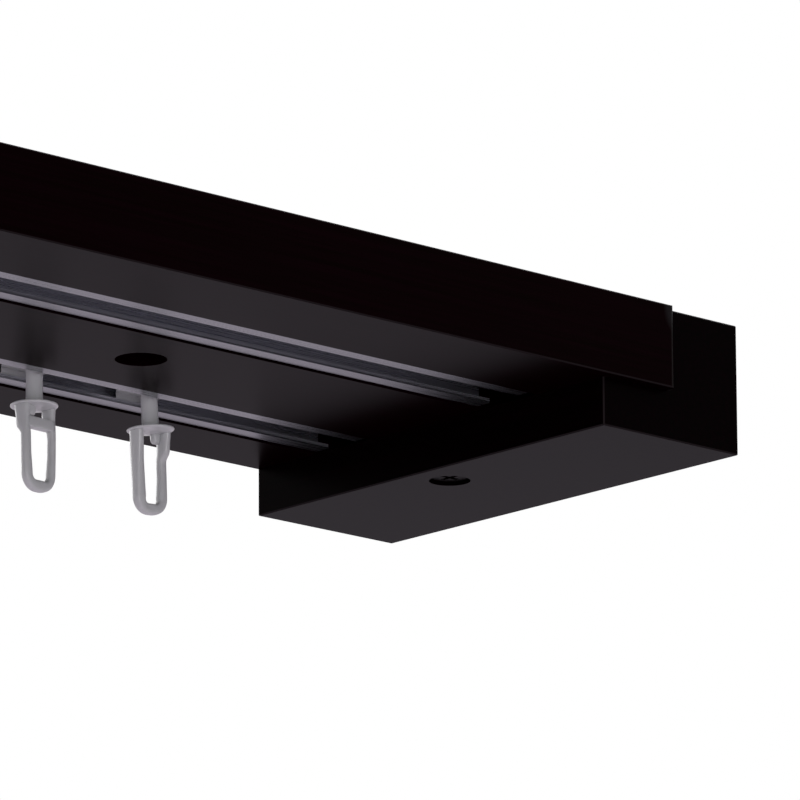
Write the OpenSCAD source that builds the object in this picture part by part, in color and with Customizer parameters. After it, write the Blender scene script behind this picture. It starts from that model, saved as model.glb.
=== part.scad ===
// Double curtain track: a lacquered board with two aluminium channels let into its underside,
// a block half-lapped under each end, and gliders with swivelling eyes in both channels.
// Millimetres. X runs along the track, Y from the front edge to the wall side, Z up.
// The origin is the centre of the board's ceiling face.

/* [Board] */
// Length over both end blocks
overall_l = 1000; // [800:10:1400]
// Width of the board, front to back
board_w = 112; // [110:1:124]
// Thickness of the board
board_t = 18; // [17:0.5:22]
// Radius of the board's front corners, seen from above
board_corner_r = 1.6; // [1:0.2:4]
// Chamfer that eases every long wooden edge
edge_ease = 0.3; // [0.2:0.1:0.8]

/* [End blocks] */
// Length of a block along the track
block_l = 39.9; // [34:0.1:60]
// Height of a block below the ceiling
block_h = 28.5; // [27:0.5:34]
// How far the board laps into a block
lap_l = 18.6; // [14:0.2:22]
// How far the board stands proud of a block at the front
board_reveal = 3; // [1:0.5:4]

/* [Channels] */
// Outer width of an aluminium channel
track_w = 17.2; // [16.4:0.2:18]
// Outer height of a channel
track_h = 11; // [10.4:0.2:12]
// Wall thickness of a channel
track_wall = 1; // [0.9:0.1:1.3]
// Width of the slot between the lips
slot_w = 8.6; // [8:0.2:9.2]
// How far the lips lie above the board's underside
lip_recess = 0.4; // [0.2:0.1:1.2]
// Chamfer along the outer edge of each lip
lip_chamfer = 0.5; // [0.3:0.1:0.7]
// Gap between a channel and the side of its groove
groove_gap = 0.1; // [0.05:0.05:0.2]
// Centre line of the front channel, from the board's front edge
front_line = 32.2; // [30:0.2:36]
// Distance between the two channels' centre lines
track_pitch = 52.4; // [50:0.1:54]
// Gap between the front channel's end and the right block
front_track_gap = 1.2; // [0.2:0.2:6]

/* [Ceiling holes] */
// Diameter of a ceiling screw's hole
ceiling_hole_d = 5; // [4:0.5:6]
// Diameter of its counterbore
ceiling_bore_d = 11; // [10:0.5:13]
// Depth of its counterbore
ceiling_bore_depth = 10; // [6:0.5:12]
// Distance of the outer holes from the board's ends
ceiling_hole_inset = 100; // [70:1:140]
// Line of the holes, from the board's front edge
ceiling_hole_line = 57; // [55:0.5:59]

/* [Screws] */
// Distance of a block's screw from its inner face
block_screw_inset = 9.4; // [8:0.2:10]
// Distance of a block's screw from the block's front face
block_screw_line = 57.4; // [55:0.2:59]
// Diameter of the counterbore for a block's screw
block_bore_d = 9; // [8.6:0.2:10]
// Depth of that counterbore
block_bore_depth = 3.3; // [3:0.1:6]
// Head diameter of a block's screw
block_head_d = 8.4; // [7:0.2:8.4]
// Head height of a block's screw
block_head_h = 2.6; // [2:0.2:3]
// Shank diameter of a block's screw
block_shank_d = 4; // [3.5:0.1:4.5]
// Depth of a block's screw in the board
block_screw_bite = 12; // [9:0.5:14]
// Head diameter of a channel's countersunk screw
track_head_d = 5.2; // [4.8:0.1:5.6]
// Shank diameter of a channel's screw
track_shank_d = 2.8; // [2.4:0.1:3]
// Depth of a channel's screw in the board
track_screw_bite = 4; // [3:0.2:4.6]

/* [Gliders] */
// Length of a runner along the channel
runner_l = 12; // [11:0.5:14]
// Gap between a runner and the channel's side walls
runner_side_gap = 0.4; // [0.3:0.1:0.6]
// Gap between a runner's skids and the lips that carry it
runner_ride_gap = 0.1; // [0.05:0.05:0.2]
// Height of a runner's skids
skid_h = 1.4; // [1:0.1:1.6]
// Width of a runner's skids
skid_w = 2.4; // [2.1:0.1:2.5]
// Thickness of a runner's deck
deck_t = 2.6; // [2.4:0.1:2.8]
// Diameter of an eye's stem
stem_d = 3.6; // [3.2:0.1:3.8]
// Running clearance round the stem, on the radius
stem_fit = 0.05; // [0.03:0.01:0.08]
// Diameter of the flange that holds the stem in its runner
flange_d = 6; // [5.6:0.1:6.4]
// Thickness of that flange
flange_t = 1; // [0.8:0.1:1.2]
// Diameter of an eye's collar
collar_d = 10.2; // [9.6:0.1:10.6]
// Thickness of the collar
collar_t = 0.8; // [0.7:0.1:1]
// Gap between the board's underside and the collar
collar_drop = 5.2; // [4:0.2:6]
// Height of an eye below the board's underside
eye_drop = 23.9; // [22.5:0.1:26]
// Thickness of the loop's round wire
wire_d = 2.1; // [2:0.05:2.3]
// Distance between the centres of the loop's legs
leg_pitch = 7.6; // [7.4:0.1:7.8]
// How far the loop stands in front of the stem's axis
loop_set = 1.2; // [0:0.1:1.3]
// Bend radius of the loop's lower corners, on the wire's centre line
loop_r = 2.6; // [2.2:0.1:2.8]
// Depth of the bowl under the collar
bowl_h = 0.9; // [0.6:0.1:1.2]
// Step from the collar's rim in to the bowl and the shoulders
bowl_step = 0.4; // [0.3:0.1:0.5]
// How far a shoulder reaches behind the stem's axis
shoulder_back = 1.3; // [1:0.1:1.5]
// Height of the shoulders under the collar
shoulder_h = 2.2; // [1.8:0.1:2.4]
// How far a shoulder leans in towards its lower end
shoulder_lean = 0.2; // [0.1:0.1:0.3]
// Height of the slope that runs a shoulder out into its leg
shoulder_run = 0.6; // [0.4:0.1:0.8]
// Height of the latch bar that closes the eye
latch_h = 2.1; // [1.8:0.1:2.3]
// Gap between the right block and the first rear glider
rear_first_gap = 55.3; // [45:0.1:60]
// Distance from the first rear glider to the second
rear_first_pitch = 31.8; // [26:0.2:36]
// Gap between the last rear glider and the left block
rear_last_gap = 83.1; // [40:0.1:90]
// Gap between the right block and the first front glider
front_first_gap = 160; // [150:1:170]
// Gap between the last front glider and the left block
front_last_gap = 40.2; // [30:0.2:60]

/* [Hidden] */
// Gliders in each channel
glider_count = 7;
// Screws along each channel
track_screw_count = 3;
// Overlap that joins the shapes of one solid
join = 0.1;
// Side count of large and small round surfaces
fine = 48;
// Spare depth of every pilot hole beyond its screw
pilot_spare = 0.4;
// Clearance round a screw in its hole, on the radius
screw_fit = 0.05;
// Slack of a stem's flange in its seat, across and in height
flange_slack = 0.4;
flange_lift = 0.2;
// Gap between the shoulders and the latch bar under them
latch_gap = 0.3;
// Height of the slope that runs the latch side's bump out into its leg
bump_run = 0.9;
// How far a shoulder's inner side lies outside its leg's inner side
shoulder_inset = 0.4;
// Land between a countersink and the web's upper side
web_land = 0.2;
// Turn of each eye about its stem, first glider nearest the right block
rear_turns = [181, 4, 182, -4, 7, 176, 3];
front_turns = [5, 183, -3, 178, 6, 184, -6];

inner_l = overall_l - 2 * block_l;
inner_x = inner_l / 2;
board_l = inner_l + 2 * lap_l;
front_y = -board_w / 2;
track_front_y = front_y + front_line;
track_rear_y = track_front_y + track_pitch;
underside_z = -board_t;
lip_z = underside_z + lip_recess;
lip_top_z = lip_z + track_wall;
track_top_z = lip_z + track_h;
web_z = track_top_z - track_wall;
skid_z = lip_top_z + runner_ride_gap;
deck_z = skid_z + skid_h;
deck_top_z = deck_z + deck_t;
runner_w = track_w - 2 * track_wall - 2 * runner_side_gap;
seat_d = flange_d + flange_slack;
seat_depth = flange_t + flange_lift;
seat_z = deck_top_z - seat_depth;
collar_z = underside_z - collar_drop - collar_t;
eye_z = underside_z - eye_drop;
leg_x = leg_pitch / 2;
leg_end_z = eye_z + wire_d / 2 + loop_r;
shoulder_z = collar_z - shoulder_h;
latch_z = shoulder_z - latch_gap - latch_h;
bump_z = latch_z - bump_run;
rear_pitch = (inner_l - rear_first_gap - rear_first_pitch - rear_last_gap) / (glider_count - 2);
front_pitch = (inner_l - front_first_gap - front_last_gap) / (glider_count - 1);

// Place of a rear glider along X, counted from 1 at the right block
function rear_x(i) = i == 1
    ? inner_x - rear_first_gap
    : inner_x - rear_first_gap - rear_first_pitch - (i - 2) * rear_pitch;

// Place of a front glider along X, counted from 1 at the right block
function front_x(i) = inner_x - front_first_gap - (i - 1) * front_pitch;

// Places of the ceiling holes and of a channel's screws along X
function ceiling_xs() = [for (s = [-1, 0, 1]) s * (board_l / 2 - ceiling_hole_inset)];
function track_screw_xs() = [for (i = [0 : track_screw_count - 1])
    inner_l * (i + 0.5) / track_screw_count - inner_x];

// Rectangle centred on the origin, with all four corners cut off at 45 degrees
module eased_square(a, b, ease) {
    polygon([
        [-a / 2 + ease, -b / 2], [a / 2 - ease, -b / 2],
        [a / 2, -b / 2 + ease], [a / 2, b / 2 - ease],
        [a / 2 - ease, b / 2], [-a / 2 + ease, b / 2],
        [-a / 2, b / 2 - ease], [-a / 2, -b / 2 + ease]
    ]);
}

// Box centred on the origin, with all twelve edges chamfered
module eased_box(size, ease) {
    intersection() {
        linear_extrude(size.z, center = true) eased_square(size.x, size.y, ease);
        rotate([90, 0, 0]) linear_extrude(size.y, center = true) eased_square(size.x, size.z, ease);
        rotate([90, 0, 90]) linear_extrude(size.x, center = true) eased_square(size.y, size.z, ease);
    }
}

// Waste outside a round upright corner at the origin, whose body lies towards +X and +Y
module corner_waste(r, h) {
    difference() {
        translate([-join, -join, 0]) cube([r + join, r + join, h]);
        translate([r, r, -join]) cylinder(r = r, h = h + 2 * join, $fn = 2 * fine);
    }
}

// Crossed slot of a screw head, cut upwards from its face
module cross_recess(width, depth) {
    for (turn = [0, 90])
        rotate([0, 0, turn]) translate([-width / 2, -width / 8, -join])
            cube([width, width / 4, depth + join]);
}

// Board with through grooves for the channels and a counterbored row of ceiling holes
module board() {
    groove_w = track_w + 2 * groove_gap;
    color("#160c0c")
    difference() {
        translate([0, 0, -board_t / 2]) rotate([90, 0, 90])
            linear_extrude(board_l, center = true) eased_square(board_w, board_t, edge_ease);
        for (y = [track_front_y, track_rear_y])
            translate([-board_l / 2 - 1, y - groove_w / 2, underside_z - 1])
                cube([board_l + 2, groove_w, lip_recess + track_h + 1]);
        for (side = [0, 1]) mirror([side, 0, 0])
            translate([-board_l / 2, front_y, underside_z - 1]) corner_waste(board_corner_r, board_t + 2);
        for (x = ceiling_xs()) translate([x, front_y + ceiling_hole_line, underside_z]) {
            translate([0, 0, -1]) cylinder(d = ceiling_hole_d, h = board_t + 2, $fn = fine);
            translate([0, 0, -1]) cylinder(d = ceiling_bore_d, h = ceiling_bore_depth + 1, $fn = fine);
        }
        for (side = [0, 1]) mirror([side, 0, 0])
            translate([block_screw_x(), block_screw_y(), underside_z - 1])
                cylinder(d = block_shank_d + 2 * screw_fit, $fn = fine,
                         h = block_screw_bite + pilot_spare + 1);
        for (y = [track_front_y, track_rear_y]) for (x = track_screw_xs())
            translate([x, y, track_top_z - 1])
                cylinder(d = track_shank_d + 2 * screw_fit, $fn = fine,
                         h = track_screw_bite + pilot_spare + 1);
    }
}

// Place of a block's screw
function block_screw_x() = inner_x + block_screw_inset;
function block_screw_y() = front_y + board_reveal + block_screw_line;

// Block for the right end: the board lies in its rebate, on the step that the screw goes through
module end_block() {
    block_w = board_w - board_reveal;
    color("#120a0a")
    difference() {
        translate([inner_x + block_l / 2, board_reveal / 2, -block_h / 2])
            eased_box([block_l, block_w, block_h], edge_ease);
        translate([inner_x - 1, front_y - 1, underside_z]) cube([lap_l + 1, board_w + 2, board_t + 1]);
        translate([block_screw_x(), block_screw_y(), -block_h - 1]) {
            cylinder(d = block_bore_d, h = block_bore_depth + 1, $fn = fine);
            cylinder(d = block_shank_d + 2 * screw_fit, h = block_h, $fn = fine);
        }
    }
}

module right_end_block() {
    end_block();
}

module left_end_block() {
    mirror([1, 0, 0]) end_block();
}

// Aluminium channel between x0 and x1, open downwards, with countersunk holes in its web
module track(x0, x1, y) {
    inside_w = track_w - 2 * track_wall;
    color("#a9abb2")
    difference() {
        translate([x0, y, lip_z]) rotate([90, 0, 90]) linear_extrude(x1 - x0)
            polygon([[-track_w / 2, lip_chamfer], [lip_chamfer - track_w / 2, 0],
                     [track_w / 2 - lip_chamfer, 0], [track_w / 2, lip_chamfer],
                     [track_w / 2, track_h], [-track_w / 2, track_h]]);
        translate([x0 - 1, y - inside_w / 2, lip_top_z]) cube([x1 - x0 + 2, inside_w, web_z - lip_top_z]);
        translate([x0 - 1, y - slot_w / 2, lip_z - 1]) cube([x1 - x0 + 2, slot_w, track_wall + 2]);
        for (x = track_screw_xs()) translate([x, y, web_z]) countersink(screw_fit);
    }
}

// Solid of a countersunk screw's head and neck in the web, grown by a clearance
module countersink(grow) {
    head_r = track_head_d / 2 + grow;
    shank_r = track_shank_d / 2 + grow;
    cylinder(r1 = head_r, r2 = shank_r, h = track_wall - web_land, $fn = fine);
    cylinder(r = shank_r, h = track_wall + (grow > 0 ? 1 : 0), $fn = fine);
    if (grow > 0) translate([0, 0, -1]) cylinder(r = head_r, h = 1, $fn = fine);
}

module front_track() {
    track(-inner_x, inner_x - front_track_gap, track_front_y);
}

module rear_track() {
    track(-inner_x, inner_x, track_rear_y);
}

// Flat-headed screw that lies in its block's counterbore and bites into the board
module block_screw() {
    head_z = -block_h + block_bore_depth - block_head_h;
    crown = block_head_h * 0.15;
    translate([block_screw_x(), block_screw_y(), 0])
        difference() {
            union() {
                translate([0, 0, head_z + crown])
                    cylinder(d = block_head_d, h = block_head_h - crown, $fn = fine);
                translate([0, 0, head_z])
                    cylinder(d1 = block_head_d * 0.92, d2 = block_head_d, h = crown, $fn = fine);
                translate([0, 0, head_z + block_head_h - join])
                    cylinder(d = block_shank_d, $fn = fine,
                             h = join + underside_z + block_screw_bite - head_z - block_head_h);
            }
            translate([0, 0, head_z]) cross_recess(block_head_d * 0.55, block_head_h * 0.6);
        }
}

module block_screws() {
    color("#3a3a3e") {
        block_screw();
        mirror([1, 0, 0]) block_screw();
    }
}

// Countersunk screws that hold one channel up in its groove
module track_screws(y) {
    color("#b9bbc0")
    for (x = track_screw_xs()) translate([x, y, web_z])
        difference() {
            union() {
                countersink(0);
                cylinder(d = track_shank_d, h = track_wall + track_screw_bite, $fn = fine);
            }
            cross_recess(track_head_d * 0.55, track_wall * 0.6);
        }
}

module front_track_screws() {
    track_screws(track_front_y);
}

module rear_track_screws() {
    track_screws(track_rear_y);
}

// Runner: a round-ended deck on two skids, with the bore and the seat for an eye's stem
module runner(x, y) {
    color("#d6d5d8")
    translate([x, y, 0])
        difference() {
            intersection() {
                translate([-runner_l / 2, -runner_w / 2, skid_z]) cube([runner_l, runner_w, skid_h + deck_t]);
                translate([0, 0, skid_z - 1])
                    cylinder(d = runner_l + 2, h = skid_h + deck_t + 2, $fn = 2 * fine);
            }
            translate([-runner_l / 2 - 1, -runner_w / 2 + skid_w, skid_z - 1])
                cube([runner_l + 2, runner_w - 2 * skid_w, skid_h + 1]);
            translate([0, 0, skid_z])
                cylinder(d = stem_d + 2 * stem_fit, h = skid_h + deck_t + 1, $fn = fine);
            translate([0, 0, seat_z]) cylinder(d = seat_d, h = seat_depth + 1, $fn = fine);
        }
}

// Leg of an eye from the collar to its lower corner, and that corner, on the -X side
module loop_leg() {
    translate([-leg_x, 0, leg_end_z]) cylinder(d = wire_d, h = collar_z + join - leg_end_z, $fn = fine);
    translate([-leg_x + loop_r, 0, leg_end_z]) rotate([-90, 0, 0]) rotate([0, 0, 90])
        rotate_extrude(angle = 90, $fn = 2 * fine) translate([loop_r, 0]) circle(d = wire_d, $fn = fine);
}

// Shoulder that spreads a leg into the collar, from the leg's inner side to the collar's curve
module loop_shoulder() {
    inner = leg_x - wire_d / 2 + shoulder_inset;
    outer = collar_d / 2 - bowl_step;
    intersection() {
        translate([0, 0, shoulder_z - shoulder_run])
            cylinder(r = outer, h = collar_z + join - shoulder_z + shoulder_run, $fn = 2 * fine);
        translate([0, shoulder_back, 0]) rotate([90, 0, 0])
            linear_extrude(shoulder_back + loop_set + wire_d / 2)
            polygon([[-inner, collar_z + join], [-outer - join, collar_z + join],
                     [shoulder_lean - outer, shoulder_z], [-leg_x, shoulder_z - shoulder_run],
                     [-inner, shoulder_z]]);
    }
}

// Sloped end of the shoulder on the latch side, running out on the leg below it
module latch_bump() {
    outer = collar_d / 2 - bowl_step - shoulder_lean / 2;
    inner = leg_x - wire_d / 4;
    rotate([90, 0, 0]) linear_extrude(wire_d * 0.9, center = true)
        polygon([[-inner, shoulder_z + join], [-outer, shoulder_z + join], [-outer, latch_z],
                 [-leg_x - wire_d / 4, bump_z], [-inner, bump_z]]);
}

// Tongue under the collar that the latch side catches on
module latch_tongue() {
    tongue_w = 1.2;
    tongue_x = 1.2;
    tongue_set = loop_set / 3;
    tongue_z = shoulder_z + latch_gap + tongue_w / 2;
    translate([-tongue_x, -tongue_set, 0]) {
        translate([-tongue_w / 2, -tongue_w * 0.7, tongue_z])
            cube([tongue_w, tongue_w * 1.4, collar_z + join - tongue_z]);
        translate([0, 0, tongue_z]) rotate([90, 0, 0])
            cylinder(d = tongue_w, h = tongue_w * 1.4, center = true, $fn = fine);
    }
}

// Bar that closes the eye below its shoulders, with a foot that grips the far leg
module latch_bar() {
    bar_t = wire_d * 0.8;
    foot_w = 2.2;
    foot_t = wire_d * 0.9;
    translate([-leg_x, -bar_t / 2, latch_z]) cube([2 * leg_x, bar_t, latch_h]);
    translate([leg_x + wire_d * 0.38 - foot_w, -foot_t / 2, latch_z])
        cube([foot_w, foot_t, shoulder_z - latch_z + join]);
}

// Moulded eye: flange and stem, collar, and the loop that a curtain hook hangs in
module eye(x, y, turn, latched) {
    flange_z = seat_z + stem_fit;
    rim_r = collar_t / 2;
    color("#cfced4")
    translate([x, y, 0]) rotate([0, 0, turn]) {
        translate([0, 0, flange_z]) cylinder(d1 = flange_d, d2 = flange_d - 1, h = flange_t, $fn = fine);
        translate([0, 0, collar_z + join]) cylinder(d = stem_d, h = flange_z - collar_z, $fn = fine);
        rotate_extrude($fn = 2 * fine) {
            translate([0, collar_z]) square([collar_d / 2 - rim_r, collar_t]);
            translate([collar_d / 2 - rim_r, collar_z + rim_r]) circle(r = rim_r, $fn = 32);
            translate([0, collar_z - bowl_h]) polygon([[0, 0], [stem_d / 2, 0],
                [collar_d / 2 - bowl_step, bowl_h], [collar_d / 2 - bowl_step, bowl_h + join],
                [0, bowl_h + join]]);
        }
        loop_shoulder();
        mirror([1, 0, 0]) loop_shoulder();
        latch_tongue();
        translate([0, -loop_set, 0]) {
            loop_leg();
            mirror([1, 0, 0]) loop_leg();
            translate([-leg_x + loop_r, 0, eye_z + wire_d / 2]) rotate([0, 90, 0])
                cylinder(d = wire_d, h = leg_pitch - 2 * loop_r, $fn = fine);
            latch_bump();
            if (latched) latch_bar();
        }
    }
}

board();
right_end_block();
left_end_block();
front_track();
rear_track();
block_screws();
front_track_screws();
rear_track_screws();
for (i = [1 : glider_count]) {
    runner(front_x(i), track_front_y);
    eye(front_x(i), track_front_y, front_turns[i - 1], true);
    runner(rear_x(i), track_rear_y);
    eye(rear_x(i), track_rear_y, rear_turns[i - 1], i != 1);
}
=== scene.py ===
import math

import bpy
import numpy as np
from mathutils import Matrix, Vector


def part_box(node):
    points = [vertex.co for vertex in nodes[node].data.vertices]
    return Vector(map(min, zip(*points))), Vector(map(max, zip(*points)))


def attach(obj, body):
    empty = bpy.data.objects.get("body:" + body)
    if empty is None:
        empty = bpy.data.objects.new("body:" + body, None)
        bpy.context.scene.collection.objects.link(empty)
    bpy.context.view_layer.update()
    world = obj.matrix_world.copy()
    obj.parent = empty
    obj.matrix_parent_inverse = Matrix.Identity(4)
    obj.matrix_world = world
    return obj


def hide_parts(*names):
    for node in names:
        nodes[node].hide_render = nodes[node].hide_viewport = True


MM = 0.001

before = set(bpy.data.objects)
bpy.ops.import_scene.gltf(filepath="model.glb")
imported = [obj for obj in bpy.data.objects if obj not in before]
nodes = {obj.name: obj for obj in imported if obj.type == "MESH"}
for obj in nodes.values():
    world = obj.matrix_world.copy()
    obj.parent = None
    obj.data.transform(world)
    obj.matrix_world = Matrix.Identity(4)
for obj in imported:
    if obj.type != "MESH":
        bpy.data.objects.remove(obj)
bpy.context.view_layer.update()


# Board: one length of timber, planed, routed with two grooves, then sprayed with black-brown lacquer
# that fills the pores. The lacquer is so dark that it shows colour only where the light grazes it; the
# ceiling face and the holes got the same coat.
BOARD_BROWN = "#080002"
BOARD_BLACK = "#040000"
LACQUER_TINT = "#241018"
GRAIN_W, GRAIN_L = 1.1 * MM, 60 * MM
PORE_W, PORE_L = 0.35 * MM, 9 * MM
LACQUER_RIPPLE = 2.5 * MM
LACQUER_ROUGHNESS = 0.3
LACQUER_SPECULAR = 0.0126
GRAIN_BAND = (0.35, 0.68)
DIMPLE_H = 0.02 * MM
# Painted highlight on the eased edges: a paler colour in a band of this width along them
ARRIS_HIGHLIGHT = "#1a1617"
ARRIS_HIGHLIGHT_W = 0.32 * MM
# Painted highlight at the top front corner of the board's right end: its paler colour, and the reach and fade
# of the patch
PAINTED_HIGHLIGHT = "#161415"
HIGHLIGHT_REACH = (3.4 * MM, 2.9 * MM, 5.8 * MM)
HIGHLIGHT_FADE = (0.7, 1.1)


def linear(hex_colour, alpha=1.0):
    """Linear colour of an sRGB hex value: the sRGB transfer curve, channel by channel."""
    values = [int(hex_colour[i : i + 2], 16) / 255 for i in (1, 3, 5)]
    return [v / 12.92 if v <= 0.04045 else ((v + 0.055) / 1.055) ** 2.4 for v in values] + [alpha]


def add_node(material, kind, links=None, **settings):
    """Adds a shader node: settings are its properties, links its inputs, as values or as sockets."""
    node = material.node_tree.nodes.new(kind)
    for name, value in settings.items():
        setattr(node, name, value)
    for name, value in (links or {}).items():
        if isinstance(value, bpy.types.NodeSocket):
            material.node_tree.links.new(value, node.inputs[name])
        else:
            node.inputs[name].default_value = value
    return node


def new_material(name, **shader):
    """A material with one Principled shader, whose own sockets take the uniform numbers given."""
    material = bpy.data.materials.new(name)
    material.use_nodes = True
    principled = material.node_tree.nodes["Principled BSDF"]
    for socket, value in shader.items():
        principled.inputs[socket.replace("_", " ")].default_value = value
    return material, principled


def stretched_noise(material, size, detail=3.0, roughness=0.5):
    """Noise on the object's own coordinates, with cells of the given size in metres along X, Y and Z."""
    place = add_node(material, "ShaderNodeTexCoord").outputs["Object"]
    scaled = add_node(
        material, "ShaderNodeMapping", {"Vector": place, "Scale": [1 / s for s in size]}
    ).outputs["Vector"]
    return add_node(
        material,
        "ShaderNodeTexNoise",
        {"Vector": scaled, "Scale": 1.0, "Detail": detail, "Roughness": roughness},
    ).outputs["Fac"]


def near_arris(material, box, width):
    """1 on the eased edges of a box-shaped piece, 0 elsewhere: a point of its skin is near an edge where
    the second smallest of its distances to the box's three pairs of faces is under the width."""
    place = add_node(material, "ShaderNodeTexCoord").outputs["Object"]
    split = add_node(material, "ShaderNodeSeparateXYZ", {"Vector": place})

    def math_of(operation, *values):
        return add_node(
            material, "ShaderNodeMath", dict(enumerate(values)), operation=operation
        ).outputs["Value"]

    gaps = []
    for axis, low, high in zip("XYZ", *box):
        from_middle = math_of("SUBTRACT", split.outputs[axis], (low + high) / 2)
        gaps.append(math_of("SUBTRACT", (high - low) / 2, math_of("ABSOLUTE", from_middle)))
    smaller, larger = math_of("MINIMUM", *gaps[:2]), math_of("MAXIMUM", *gaps[:2])
    second = math_of("MAXIMUM", smaller, math_of("MINIMUM", larger, gaps[2]))
    return add_node(
        material,
        "ShaderNodeMapRange",
        {"Value": second, "From Min": 0.8 * width, "From Max": width, "To Min": 1.0, "To Max": 0.0},
    ).outputs["Result"]


def sprayed_lacquer(name, light, dark, along, box):
    """Lacquer over timber: soft grain streaks along the given axis, closed pores and a faint ripple, and a
    painted highlight, a paler colour, along the edges of the given box."""
    material, principled = new_material(
        name,
        Roughness=LACQUER_ROUGHNESS,
        Specular_IOR_Level=LACQUER_SPECULAR,
        Specular_Tint=linear(LACQUER_TINT),
    )
    grain = stretched_noise(material, [GRAIN_L if a == along else GRAIN_W for a in "XYZ"], 4.0, 0.6)
    ramp = add_node(material, "ShaderNodeValToRGB", {"Fac": grain})
    for stop, position, colour in zip(ramp.color_ramp.elements, GRAIN_BAND, (dark, light)):
        stop.position, stop.color = position, linear(colour)
    pores = stretched_noise(material, [PORE_L if a == along else PORE_W for a in "XYZ"], 2.0)
    ripple = stretched_noise(material, [LACQUER_RIPPLE] * 3, 1.0)
    sunk = add_node(
        material, "ShaderNodeBump", {"Height": pores, "Strength": 0.12, "Distance": DIMPLE_H}
    ).outputs["Normal"]
    waved = add_node(
        material,
        "ShaderNodeBump",
        {"Height": ripple, "Strength": 0.15, "Distance": DIMPLE_H, "Normal": sunk},
    ).outputs["Normal"]
    links = material.node_tree.links
    # Painted highlight: the paler colour on the edges stands in for the light the eased edges catch
    coat = add_node(
        material,
        "ShaderNodeMix",
        {"Factor": near_arris(material, box, ARRIS_HIGHLIGHT_W), 6: ramp.outputs["Color"], 7: linear(ARRIS_HIGHLIGHT)},
        data_type="RGBA",
    )
    links.new(coat.outputs[2], principled.inputs["Base Color"])
    links.new(waved, principled.inputs["Normal"])
    return material


def dress(node, material):
    """Gives every material slot of a CAD node the material."""
    for material_slot in nodes[node].material_slots:
        material_slot.material = material


def painted_highlight_spot(material, middle, reach):
    """Paints a highlight: pales the base colour round a point, in a soft ellipsoid of the given half sizes
    along X, Y and Z.
    """
    place = add_node(material, "ShaderNodeTexCoord").outputs["Object"]
    aside = add_node(
        material, "ShaderNodeVectorMath", {0: place, 1: middle}, operation="SUBTRACT"
    ).outputs["Vector"]
    scaled = add_node(
        material, "ShaderNodeVectorMath", {0: aside, 1: reach}, operation="DIVIDE"
    ).outputs["Vector"]
    away = add_node(material, "ShaderNodeVectorMath", {0: scaled}, operation="LENGTH").outputs["Value"]
    highlight_or_lip_grey = add_node(
        material,
        "ShaderNodeMapRange",
        {"Value": away, "From Min": HIGHLIGHT_FADE[0], "From Max": HIGHLIGHT_FADE[1], "To Min": 1.0, "To Max": 0.0},
    ).outputs["Result"]
    base = material.node_tree.nodes["Principled BSDF"].inputs["Base Color"]
    paled = add_node(
        material,
        "ShaderNodeMix",
        {"Factor": highlight_or_lip_grey, 6: base.links[0].from_socket, 7: linear(PAINTED_HIGHLIGHT)},
        data_type="RGBA",
    )
    material.node_tree.links.new(paled.outputs[2], base)


board_low, board_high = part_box("board")
board_lacquer = sprayed_lacquer(
    "black_brown_sprayed_lacquer", BOARD_BROWN, BOARD_BLACK, "X", (board_low, board_high)
)
# Painted highlight: a paler patch where the board's rounded right end meets its front face at the top
painted_highlight_spot(board_lacquer, (board_high[0], board_low[1], board_high[2]), HIGHLIGHT_REACH)
dress("board", board_lacquer)


# End blocks: short lengths of the same timber, rebated to half-lap the board and glued and screwed to
# it from below. Their grain runs front to back, under the same sprayed lacquer.
BLOCK_BROWN = "#040001"
BLOCK_BLACK = "#010000"

for end in ("left_end_block", "right_end_block"):
    block_lacquer = sprayed_lacquer(
        f"black_brown_lacquer_on_{end}", BLOCK_BROWN, BLOCK_BLACK, "Y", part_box(end)
    )
    dress(end, block_lacquer)


# Channels: extruded aluminium, cut to length, anodised to a satin grey and screwed down in the grooves.
# The die leaves fine lines along the length, which draw out the blocks' reflections near the ends.
LIP_GREY = "#828489"
# Painted light: the slot's paler grey and lower metallic stand in for the light inside the slot
SLOT_PAINTED_LIGHT_GREY = "#b9bbc1"
SLOT_METALLIC = 0.88
LIP_Z, LIP_TO_SLOT_H = -17.6 * MM, 0.6 * MM
DIE_LINE_W, DIE_LINE_L = 0.25 * MM, 80 * MM
DIE_LINE_DEPTH = 0.01 * MM
SATIN_ROUGHNESS = (0.22, 0.34)


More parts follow.
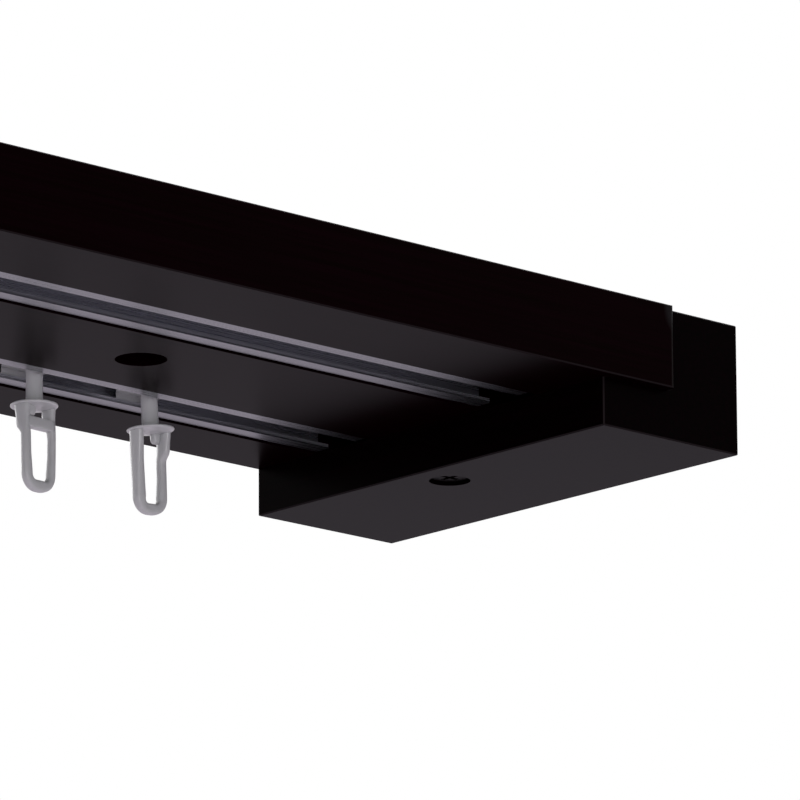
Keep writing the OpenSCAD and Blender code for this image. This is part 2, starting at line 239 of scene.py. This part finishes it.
def anodised_extrusion(name, highlight_or_lip_grey, slot_painted_light):
    """Satin metal whose roughness and height vary in streaks along X, as an extruder's die leaves it. The
    lips keep the metal's own grey; the slot above them has painted light, a paler grey and less metal that
    stand in for the light the slot lacks."""
    material, principled = new_material(name)
    place = add_node(material, "ShaderNodeTexCoord").outputs["Object"]
    height = add_node(material, "ShaderNodeSeparateXYZ", {"Vector": place}).outputs["Z"]
    inside = add_node(
        material,
        "ShaderNodeMapRange",
        {"Value": height, "From Min": LIP_Z, "From Max": LIP_Z + LIP_TO_SLOT_H},
    ).outputs["Result"]
    metallic = add_node(
        material, "ShaderNodeMapRange", {"Value": inside, "To Min": 1.0, "To Max": SLOT_METALLIC}
    ).outputs["Result"]
    # Painted light: the slot above the lips takes the paler grey
    lip_grey_and_slot_light = add_node(
        material,
        "ShaderNodeMix",
        {"Factor": inside, 6: linear(highlight_or_lip_grey), 7: linear(slot_painted_light)},
        data_type="RGBA",
    )
    streaks = stretched_noise(material, [DIE_LINE_L, DIE_LINE_W, DIE_LINE_W], 2.0)
    rough = add_node(
        material,
        "ShaderNodeMapRange",
        {"Value": streaks, "To Min": SATIN_ROUGHNESS[0], "To Max": SATIN_ROUGHNESS[1]},
    ).outputs["Result"]
    lines = add_node(
        material, "ShaderNodeBump", {"Height": streaks, "Strength": 0.25, "Distance": DIE_LINE_DEPTH}
    ).outputs["Normal"]
    links = material.node_tree.links
    links.new(lip_grey_and_slot_light.outputs[2], principled.inputs["Base Color"])
    links.new(metallic, principled.inputs["Metallic"])
    links.new(rough, principled.inputs["Roughness"])
    links.new(lines, principled.inputs["Normal"])
    return material


channel_metal = anodised_extrusion("satin_anodised_aluminium", LIP_GREY, SLOT_PAINTED_LIGHT_GREY)
for channel in ("front_track", "rear_track"):
    dress(channel, channel_metal)


# Screws: the blocks' flat heads lie just under the surface and were sprayed over with the blocks, so
# only a thin dark crescent shows at each; the channels' small countersunk ones are zinc plated.
ZINC_GREY = "#b4b6ba"
ZINC_ROUGHNESS = (0.24, 0.4)
MOTTLE = 0.8 * MM


def plated_steel(name, colour, roughness):
    """Plated steel with a faint mottle from the bath, between the two given roughnesses."""
    material, principled = new_material(name, Base_Color=linear(colour), Metallic=1.0)
    mottle = stretched_noise(material, [MOTTLE] * 3, 3.0)
    rough = add_node(
        material, "ShaderNodeMapRange", {"Value": mottle, "To Min": roughness[0], "To Max": roughness[1]}
    ).outputs["Result"]
    material.node_tree.links.new(rough, principled.inputs["Roughness"])
    return material


dress("block_screws", block_lacquer)
zinc = plated_steel("zinc_plated_steel", ZINC_GREY, ZINC_ROUGHNESS)
for screws in ("front_track_screws", "rear_track_screws"):
    dress(screws, zinc)


# Gliders: runners and eyes moulded in natural acetal, a milky, slightly waxy plastic that lets a
# little light through its thin legs. The mould leaves a fine satin on every face.
ACETAL = "#adafaf"
ACETAL_IOR = 1.48
LIGHT_REACH = [1.2 * MM, 1.1 * MM, 1.0 * MM]
MOULD_SATIN, MOULD_SATIN_H = 0.5 * MM, 0.02 * MM
RUNNER_ROUGHNESS = 0.45


def moulded_acetal(name, colour, roughness):
    """Milky acetal with light scattered just under its skin and the mould's fine unevenness on it."""
    material, principled = new_material(
        name,
        Base_Color=linear(colour),
        Roughness=roughness,
        IOR=ACETAL_IOR,
        Subsurface_Weight=0.25,
        Subsurface_Radius=LIGHT_REACH,
        Subsurface_Scale=1.0,
    )
    skin = stretched_noise(material, [MOULD_SATIN] * 3, 2.0)
    satin = add_node(
        material, "ShaderNodeBump", {"Height": skin, "Strength": 0.2, "Distance": MOULD_SATIN_H}
    ).outputs["Normal"]
    material.node_tree.links.new(satin, principled.inputs["Normal"])
    return material


runner_acetal = moulded_acetal("natural_acetal_runner", ACETAL, RUNNER_ROUGHNESS)
for name in nodes:
    if "_runner_" in name:
        dress(name, runner_acetal)


# Eyes: each is one moulding that turns in its runner, a stem under a flange, a bowl-shaped collar and a
# loop that stands a little in front of the stem. Soft radii run every form into the next, as a mould's
# do. All but the first rear eye have a bar that snaps shut under their shoulders.
TURNS = {"front": [5, 183, -3, 178, 6, 184, -6], "rear": [179, 4, 182, -4, 7, 176, 3]}
EYE_ROUGHNESS = 0.28
LOOP_SET = 1.2
SIDES = 40
SIDE_ROWS = 26

# (radius, height) of the stem and the collar, from the flange's top down to the middle of the bowl
STEM_AND_COLLAR = [
    (0.02, -12.65), (2.4, -12.65), (2.6, -12.75), (2.95, -13.5), (2.95, -13.62), (2.85, -13.65),
    (1.8, -13.65), (1.8, -15.0), (1.8, -18.0), (1.8, -21.0), (1.83, -22.3), (1.92, -22.75),
    (2.12, -23.0), (2.5, -23.12), (3.4, -23.17), (4.5, -23.2), (4.8, -23.22), (5.0, -23.3),
    (5.06, -23.4), (5.08, -23.5), (5.05, -23.62), (4.95, -23.74), (4.8, -23.8), (4.6, -23.84),
    (4.2, -23.9), (3.6, -24.0), (2.8, -24.1), (1.8, -24.18), (0.9, -24.2), (0.02, -24.2),
]
# Sections of the loop's two sides, from under the collar to the lower corner: height, outer edge's
# distance from the middle, half width, place across, half depth
LATCH_SIDE = [
    (-23.4, 4.8, 1.0, -0.25, 2.0), (-24.6, 4.78, 1.0, -0.3, 1.92), (-26.2, 4.68, 0.98, -0.4, 1.78),
    (-27.6, 4.68, 1.02, -0.45, 1.7), (-28.5, 4.66, 1.04, -0.55, 1.6), (-29.3, 4.6, 1.04, -0.95, 1.2),
    (-29.9, 4.55, 1.04, -1.15, 0.98), (-34.0, 4.5, 1.06, -1.2, 0.98), (-38.6, 4.38, 1.26, -1.2, 1.02),
]
PLAIN_SIDE = [
    (-23.4, 4.74, 1.0, -0.5, 1.8), (-24.6, 4.7, 0.98, -0.5, 1.72), (-25.6, 4.66, 0.98, -0.55, 1.62),
    (-26.6, 4.64, 0.96, -0.75, 1.4), (-27.6, 4.64, 0.94, -1.0, 1.2), (-29.0, 4.64, 0.82, -1.2, 0.98),
    (-30.2, 4.66, 0.76, -1.2, 0.95), (-34.0, 4.68, 0.8, -1.2, 0.95), (-38.6, 4.6, 0.98, -1.2, 1.0),
]
HEAVY_SIDE = [
    (-23.4, 4.74, 1.04, -0.3, 1.84), (-24.6, 4.68, 1.04, -0.35, 1.8), (-26.0, 4.6, 1.08, -0.5, 1.78),
    (-27.6, 4.54, 1.12, -0.7, 1.72), (-30.2, 4.54, 1.18, -0.85, 1.56), (-34.0, 4.55, 1.29, -0.9, 1.38),
    (-38.6, 4.58, 1.45, -1.0, 1.25),
]
LOOP_FOOT_Z = -41.9
CORNER_R = 4.0
CORNER_THIN = 0.12
FOOT_HALF_W, FOOT_HALF_D = 1.2, 1.05
LEG_SQUARE, FOOT_SQUARE = 2.4, 4.0
# Nib under the collar and bar between the legs: ends, half height, half depth, squareness, end radius
NIB = ((-3.9, -1.15, -24.7), (-1.1, -1.15, -24.7), 1.55, 0.9, 3.0, 0.7)
BAR = ((-4.0, -LOOP_SET, -27.55), (4.3, -LOOP_SET, -27.55), 1.2, 1.02, 6.0, 0.5)
BAR_ROWS, BAR_SIDES = 25, 32
BAR_TIP = 0.04
# The two photographed rear eyes hang a little unlike the rest: lean in degrees and stretch, both from
# the runner's foot down
HANGS = {"rear_eye_1": (-3.7, -0.012), "rear_eye_2": (0.3, 0.02)}
RUNNER_FOOT_Z = -16.5
BEND_H = 4.0


def turned(profile, sides):
    """A profile of radius and height carried once round the Z axis, as a grid of points."""
    radius, height = np.array(profile).T[:, :, None]
    angle = 2 * math.pi * np.arange(sides) / sides
    return np.stack([radius * np.cos(angle), radius * np.sin(angle), height + 0 * angle], axis=-1)


def swept(centre, outward, half_w, half_d, squareness, sides):
    """A superellipse carried along a path in a plane y = constant: at each point of the path it reaches
    half_w along the outward direction and half_d along Y."""
    angle = 2 * math.pi * np.arange(sides) / sides
    c, d = np.cos(angle), np.sin(angle)
    across = np.sign(c) * np.abs(c) ** (2 / squareness[:, None])
    deep = np.sign(d) * np.abs(d) ** (2 / squareness[:, None])
    points = centre[:, None, :] + outward[:, None, :] * (half_w[:, None] * across)[:, :, None]
    points[:, :, 1] += half_d[:, None] * deep
    return points


def loop_path(left, right):
    """Path and sizes of the whole loop: down the left side, round both lower corners, up the right side.
    The outer edge is straight between the given heights and a circle at each corner."""
    parts = []
    for side, sign in ((np.array(left), -1.0), (np.array(right), 1.0)):
        z = np.linspace(side[0, 0], LOOP_FOOT_Z + CORNER_R, SIDE_ROWS)
        edge, half_w, place, half_d = (np.interp(-z, -side[:, 0], side[:, k]) for k in range(1, 5))
        bend = np.linspace(0, math.pi / 2, SIDE_ROWS // 2)[1:]
        grow = np.sin(bend) ** 2
        x_edge = np.concatenate([edge, edge[-1] - CORNER_R * (1 - np.cos(bend))])
        z_edge = np.concatenate([z, z[-1] - CORNER_R * np.sin(bend)])
        out_x = np.concatenate([np.ones(SIDE_ROWS), np.cos(bend)])
        out_z = np.concatenate([np.zeros(SIDE_ROWS), -np.sin(bend)])
        thin = 1 - CORNER_THIN * np.sin(2 * bend) ** 2
        half_w = np.concatenate([half_w, (half_w[-1] + (FOOT_HALF_W - half_w[-1]) * grow) * thin])
        half_d = np.concatenate([half_d, half_d[-1] + (FOOT_HALF_D - half_d[-1]) * grow])
        place = np.concatenate([place, place[-1] + (-LOOP_SET - place[-1]) * grow])
        foot_square = LEG_SQUARE + (FOOT_SQUARE - LEG_SQUARE) * grow
        square = np.concatenate([np.full(SIDE_ROWS, LEG_SQUARE), foot_square])
        outward = np.stack([sign * out_x, 0 * out_x, out_z], axis=-1)
        centre = np.stack([sign * x_edge, place, z_edge], axis=-1) - outward * half_w[:, None]
        parts.append([centre, outward, half_w, half_d, square])
    right_up = [row[::-1] for row in parts[1]]
    return [np.concatenate(pair) for pair in zip(parts[0], right_up)]


def closed_tubes(name, grids):
    """One mesh of several grids, each closed round its columns and capped at its first and last rows."""
    points, faces = [], []
    for grid in grids:
        rows, columns = grid.shape[:2]
        first = sum(len(p) for p in points)
        index = first + np.arange(rows * columns).reshape(rows, columns)
        beside = np.roll(index, -1, axis=1)
        quads = np.stack([index[:-1], beside[:-1], beside[1:], index[1:]], axis=-1).reshape(-1, 4)
        caps = [index[0][::-1].tolist(), index[-1].tolist()]
        middle = grid.reshape(-1, 3).mean(axis=0)
        corners = grid.reshape(-1, 3)[quads - first] - middle
        volume = np.einsum("ij,ij->i", corners[:, 0], np.cross(corners[:, 1], corners[:, 2])).sum()
        ring = quads.tolist() + caps
        faces += ring if volume > 0 else [face[::-1] for face in ring]
        points.append(grid.reshape(-1, 3))
    mesh = bpy.data.meshes.new(name)
    mesh.from_pydata(np.concatenate(points), [], faces)
    mesh.polygons.foreach_set("use_smooth", np.ones(len(mesh.polygons), dtype=bool))
    piece = bpy.data.objects.new(name, mesh)
    bpy.context.collection.objects.link(piece)
    return piece


def rounded_bar(start, end, half_w, half_d, squareness, rounding):
    """A bar between two points of one plane y = constant, with a superellipse section and round ends."""
    t = np.linspace(-1, 1, BAR_ROWS)
    length = np.linalg.norm(np.subtract(end, start))
    fall = np.clip((1 - np.abs(t)) * length / 2 / rounding, 0, 1)
    swell = np.maximum(np.sqrt(1 - (1 - fall) ** 2), BAR_TIP)
    centre = np.add(start, end) / 2 + t[:, None] * np.subtract(end, start) / 2
    along = np.subtract(end, start) / length
    outward = np.tile([-along[2], 0.0, along[0]], (len(t), 1))
    return swept(centre, outward, half_w * swell, half_d * swell, np.full(len(t), squareness), BAR_SIDES)


def moulded_eye(name, turn, latched, lean, stretch):
    """The eye's grids, leant and stretched below its runner, turned about its stem and set in place."""
    loop = loop_path(LATCH_SIDE, PLAIN_SIDE if latched else HEAVY_SIDE)
    grids = [
        turned(STEM_AND_COLLAR, 2 * SIDES),
        swept(*loop, SIDES),
        rounded_bar(*NIB),
    ]
    if latched:
        grids.append(rounded_bar(*BAR))
    low, high = (Vector(corner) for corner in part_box(name))
    angle = math.radians(turn)
    piece = closed_tubes("moulded_" + name, grids)
    flat = np.empty(len(piece.data.vertices) * 3)
    piece.data.vertices.foreach_get("co", flat)
    x, y, z = flat.reshape(-1, 3).T
    below = np.maximum(RUNNER_FOOT_Z - z, 0)
    bent = np.clip(below / BEND_H, 0, 1)
    x, z = x + math.radians(lean) * below, z + bent * math.radians(lean) * x - stretch * below
    place = [
        (low.x + high.x) / 2 + MM * (x * math.cos(angle) - y * math.sin(angle)),
        (low.y + high.y) / 2 + MM * (x * math.sin(angle) + y * math.cos(angle)),
        MM * z,
    ]
    piece.data.vertices.foreach_set("co", np.stack(place, axis=-1).ravel())
    piece.data.materials.append(eye_acetal)
    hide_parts(name)
    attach(piece, name)


eye_acetal = moulded_acetal("natural_moulded_acetal", ACETAL, EYE_ROUGHNESS)
for row, turns in TURNS.items():
    for number, turn in enumerate(turns, 1):
        name = f"{row}_eye_{number}"
        moulded_eye(name, turn, name != "rear_eye_1", *HANGS.get(name, (0.0, 0.0)))


# Stage: a pale matt floor well below the hung track, white surroundings, and soft plain lamps.
FLOOR_Z = -0.75
FLOOR_HALF = 30.0
FLOOR_COLOUR = "#d6ccd8"
SKY_LIGHT = 0.72
RIGHT_END = (0.4, 0.0, -0.02)
# Place, size and power of each lamp
LAMPS = {
    "key_lamp": ((-1.8, -1.4, 1.8), 1.4, 28.0),
    "low_lamp": ((-1.0, -2.7, -0.5), 1.0, 28.0),
    "back_lamp": ((0.2, 2.4, 1.0), 1.4, 24.0),
}

floor_mesh = bpy.data.meshes.new("floor")
floor_corners = [
    (x * FLOOR_HALF, y * FLOOR_HALF, FLOOR_Z) for x, y in ((-1, -1), (1, -1), (1, 1), (-1, 1))
]
floor_mesh.from_pydata(floor_corners, [], [(0, 1, 2, 3)])
floor = bpy.data.objects.new("floor", floor_mesh)
bpy.context.collection.objects.link(floor)
paper, paper_shader = new_material(
    "pale_matt_paper", Base_Color=linear(FLOOR_COLOUR), Roughness=1.0, Specular_IOR_Level=0.0
)
seen_from_below = add_node(paper, "ShaderNodeNewGeometry").outputs["Backfacing"]
clear = add_node(paper, "ShaderNodeBsdfTransparent").outputs["BSDF"]
one_sided = add_node(paper, "ShaderNodeMixShader", {"Fac": seen_from_below})
paper_surface = paper.node_tree.nodes["Material Output"].inputs["Surface"]
paper.node_tree.links.new(paper_shader.outputs["BSDF"], one_sided.inputs[1])
paper.node_tree.links.new(clear, one_sided.inputs[2])
paper.node_tree.links.new(one_sided.outputs["Shader"], paper_surface)
floor_mesh.materials.append(paper)

world = bpy.data.worlds.new("plain_white_room")
bpy.context.scene.world = world
world.use_nodes = True
backdrop = world.node_tree.nodes["Background"]
backdrop.inputs["Color"].default_value = (1, 1, 1, 1)
path = add_node(world, "ShaderNodeLightPath")
seen = path.outputs["Is Camera Ray"]
for ray in ("Is Glossy Ray", "Is Transmission Ray"):
    seen = add_node(
        world, "ShaderNodeMath", {0: seen, 1: path.outputs[ray]}, operation="MAXIMUM"
    ).outputs["Value"]
strength = add_node(
    world, "ShaderNodeMapRange", {"Value": seen, "To Min": SKY_LIGHT, "To Max": 1.0}
).outputs["Result"]
world.node_tree.links.new(strength, backdrop.inputs["Strength"])


def softbox(name, place, aim, size, power):
    """A square area lamp that faces the aim point."""
    lamp = bpy.data.lights.new(name, "AREA")
    lamp.size, lamp.energy = size, power
    holder = bpy.data.objects.new(name, lamp)
    bpy.context.collection.objects.link(holder)
    holder.location = place
    holder.rotation_mode = "QUATERNION"
    holder.rotation_quaternion = (Vector(aim) - Vector(place)).to_track_quat("-Z", "Y")


for name, (place, size, power) in LAMPS.items():
    softbox(name, place, RIGHT_END, size, power)

# Camera: fitted to the straight edges of the photographed end, below and in front of it.
PHOTO_SIZE = 800
FOCAL_PIXELS = 7774.7
CAMERA_PLACE = Vector((-641.6, -1182.5, -428.1)) * MM
CAMERA_RIGHT = Vector((0.7352, -0.6778, -0.0044))
CAMERA_FORWARD = Vector((0.6573, 0.7114, 0.2488))

camera_data = bpy.data.cameras.new("camera")
camera_data.sensor_width = 36.0
camera_data.lens = FOCAL_PIXELS * camera_data.sensor_width / PHOTO_SIZE
camera_data.clip_start, camera_data.clip_end = 0.05, 100.0
camera = bpy.data.objects.new("camera", camera_data)
bpy.context.collection.objects.link(camera)
forward = CAMERA_FORWARD.normalized()
right = (CAMERA_RIGHT - forward * CAMERA_RIGHT.dot(forward)).normalized()
up = right.cross(forward)
turn = Matrix((right, up, -forward)).transposed().to_4x4()
camera.matrix_world = Matrix.Translation(CAMERA_PLACE) @ turn
bpy.context.scene.camera = camera
bpy.context.scene.view_settings.view_transform = "Standard"
